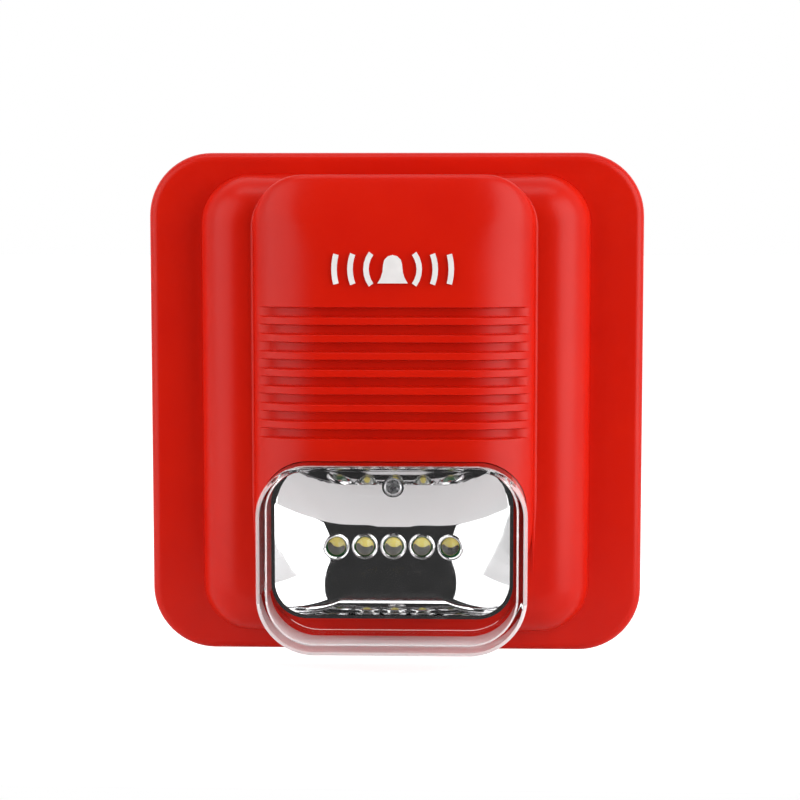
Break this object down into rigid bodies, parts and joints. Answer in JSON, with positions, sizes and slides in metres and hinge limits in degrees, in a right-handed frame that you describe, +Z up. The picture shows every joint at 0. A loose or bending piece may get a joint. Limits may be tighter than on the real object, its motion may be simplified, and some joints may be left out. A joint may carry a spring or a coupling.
{
  "type": "horn strobe",
  "caption": "Wall-mounted red fire alarm horn strobe: stepped housing with sounder grille, clear LED strobe window over a chrome reflector, on a separate wall base.",
  "frame": {"origin": "centre of the wall face at the back of the wall base", "axes": "+Y into the wall, -Y out towards the viewer, +Z up, +X to the right seen from the front"},
  "size_m": [0.142, 0.0495, 0.144],
  "materials": {
    "red_abs": "satin moulded red ABS with a fine texture",
    "white_ink": "white raised plastic",
    "clear_plastic": "polished clear polycarbonate",
    "led_resin": "clear epoxy resin with a yellow phosphor chip",
    "chrome_film": "vacuum-metallised mirror finish",
    "steel": "zinc-plated steel",
    "brass": "plain brass",
    "copper": "enamelled copper wire",
    "green_laminate": "green solder mask on glass-epoxy board",
    "black_plastic": "black moulded plastic",
    "ivory_plastic": "ivory moulded plastic",
    "switch_plastic": "red moulded switch body",
    "ceramic": "off-white fired ceramic",
    "red_insulation": "red PVC wire insulation",
    "black_insulation": "black PVC wire insulation"
  },
  "bodies": {
    "wall_side": {"wall_base": "red_abs", "terminal_block": "ivory_plastic", "terminal_screw_1": "steel", "terminal_screw_2": "steel", "terminal_screw_3": "steel", "terminal_screw_4": "steel", "contact_spring_1": "brass", "contact_spring_2": "brass", "contact_spring_3": "brass", "contact_spring_4": "brass"},
    "front_unit": {"front_cover": "red_abs", "sign_bell": "white_ink", "sign_wave_left_1": "white_ink", "sign_wave_left_2": "white_ink", "sign_wave_left_3": "white_ink", "sign_wave_right_1": "white_ink", "sign_wave_right_2": "white_ink", "sign_wave_right_3": "white_ink", "strobe_lens": "clear_plastic", "reflector": "chrome_film", "reflector_screw": "steel", "strobe_led_1": "led_resin", "strobe_led_2": "led_resin", "strobe_led_3": "led_resin", "strobe_led_4": "led_resin", "strobe_led_5": "led_resin", "led_board": "green_laminate", "led_board_screw_left": "steel", "led_board_screw_right": "steel", "main_board": "green_laminate", "board_screw_1": "steel", "board_screw_2": "steel", "board_screw_3": "steel", "board_screw_4": "steel", "transformer_core": "black_plastic", "transformer_winding": "copper", "filter_capacitor": "black_plastic", "drive_transistor": "black_plastic", "diode_1": "black_plastic", "diode_2": "black_plastic", "controller_chip": "black_plastic", "resistor_1": "ceramic", "resistor_2": "ceramic", "setting_switch": "switch_plastic", "horn_chamber": "black_plastic", "piezo_disc": "brass", "piezo_ceramic": "ceramic", "piezo_retainer": "ivory_plastic", "led_wire_positive": "red_insulation", "led_wire_negative": "black_insulation", "piezo_wire_centre": "red_insulation", "piezo_wire_rim": "black_insulation", "contact_pin_1": "brass", "contact_pin_2": "brass", "contact_pin_3": "brass", "contact_pin_4": "brass"},
    "lock_screw": {"cover_lock_screw": "steel"},
    "tone_switch": {"tone_slider": "white_ink"},
    "volume_switch": {"volume_slider": "white_ink"}
  },
  "joints": [
    {"name": "cover_release", "type": "slide", "parent": "wall_side", "child": "front_unit", "axis": [0, -1, 0], "range_m": [0, 0.06]},
    {"name": "lock_screw_travel", "type": "slide", "parent": "front_unit", "child": "lock_screw", "axis": [0, 0, -1], "range_m": [0, 0.005]},
    {"name": "tone_select", "type": "slide", "parent": "front_unit", "child": "tone_switch", "axis": [0, 0, 1], "range_m": [0, 0.0016]},
    {"name": "volume_select", "type": "slide", "parent": "front_unit", "child": "volume_switch", "axis": [0, 0, 1], "range_m": [0, 0.0016]}
  ]
}
